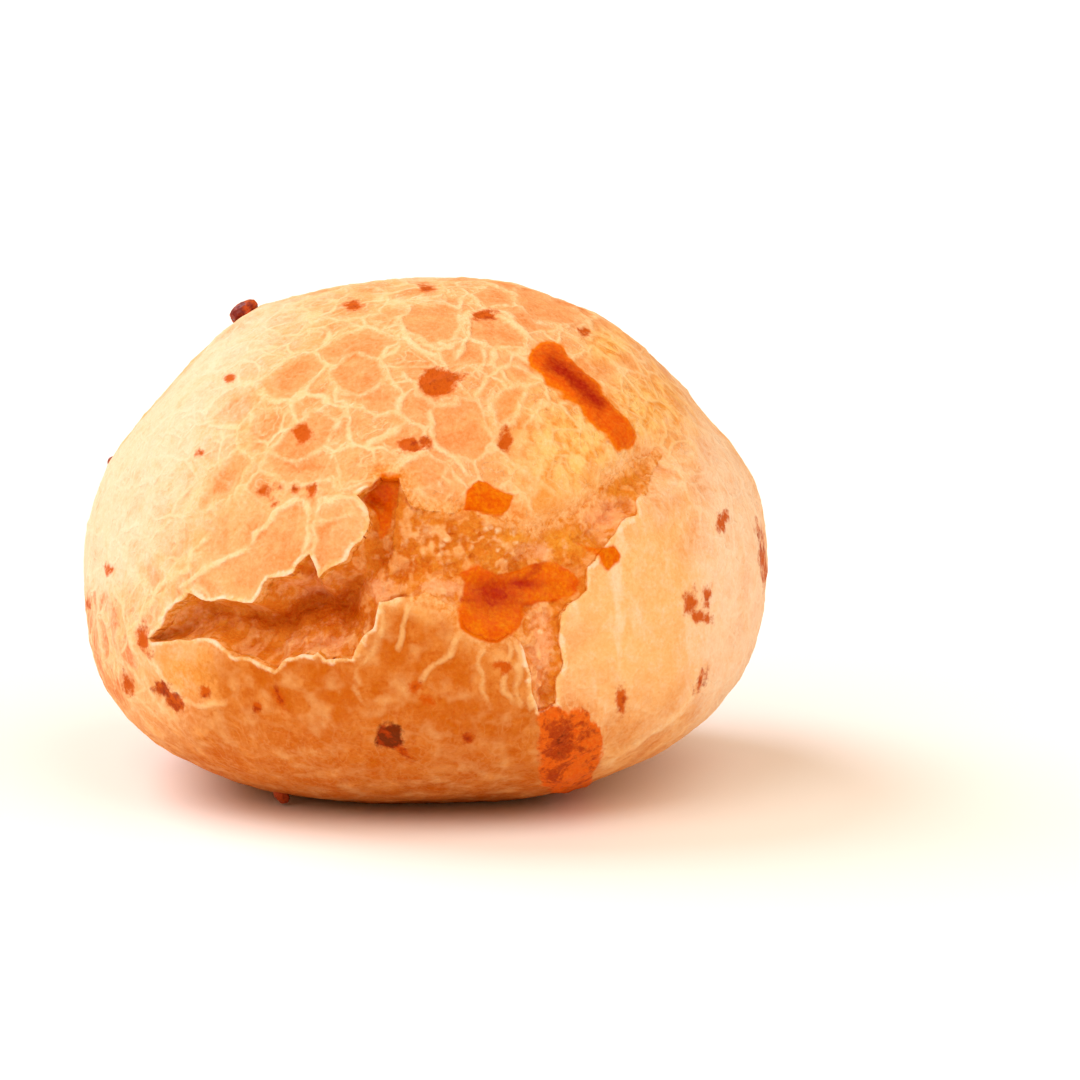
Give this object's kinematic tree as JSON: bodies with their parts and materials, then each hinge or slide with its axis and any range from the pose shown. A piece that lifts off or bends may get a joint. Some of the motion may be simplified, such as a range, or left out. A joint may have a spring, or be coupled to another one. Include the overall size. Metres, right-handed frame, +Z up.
{
  "type": "cheese bread roll",
  "caption": "Small round cheese bread roll with a flat base, a blistered pale crust and a torn side with melted cheese; food to serve or display.",
  "frame": {"origin": "middle of the roll's box at the level of its flat base", "axes": "+Z up from the base, -Y out of the torn side, +X to the right of the torn side"},
  "size_m": [0.0598, 0.0574, 0.0438],
  "materials": {
    "crust": "baked dough crust, pale orange-tan, softly dull"
  },
  "bodies": {
    "root": {"bun": "crust"}
  },
  "joints": []
}
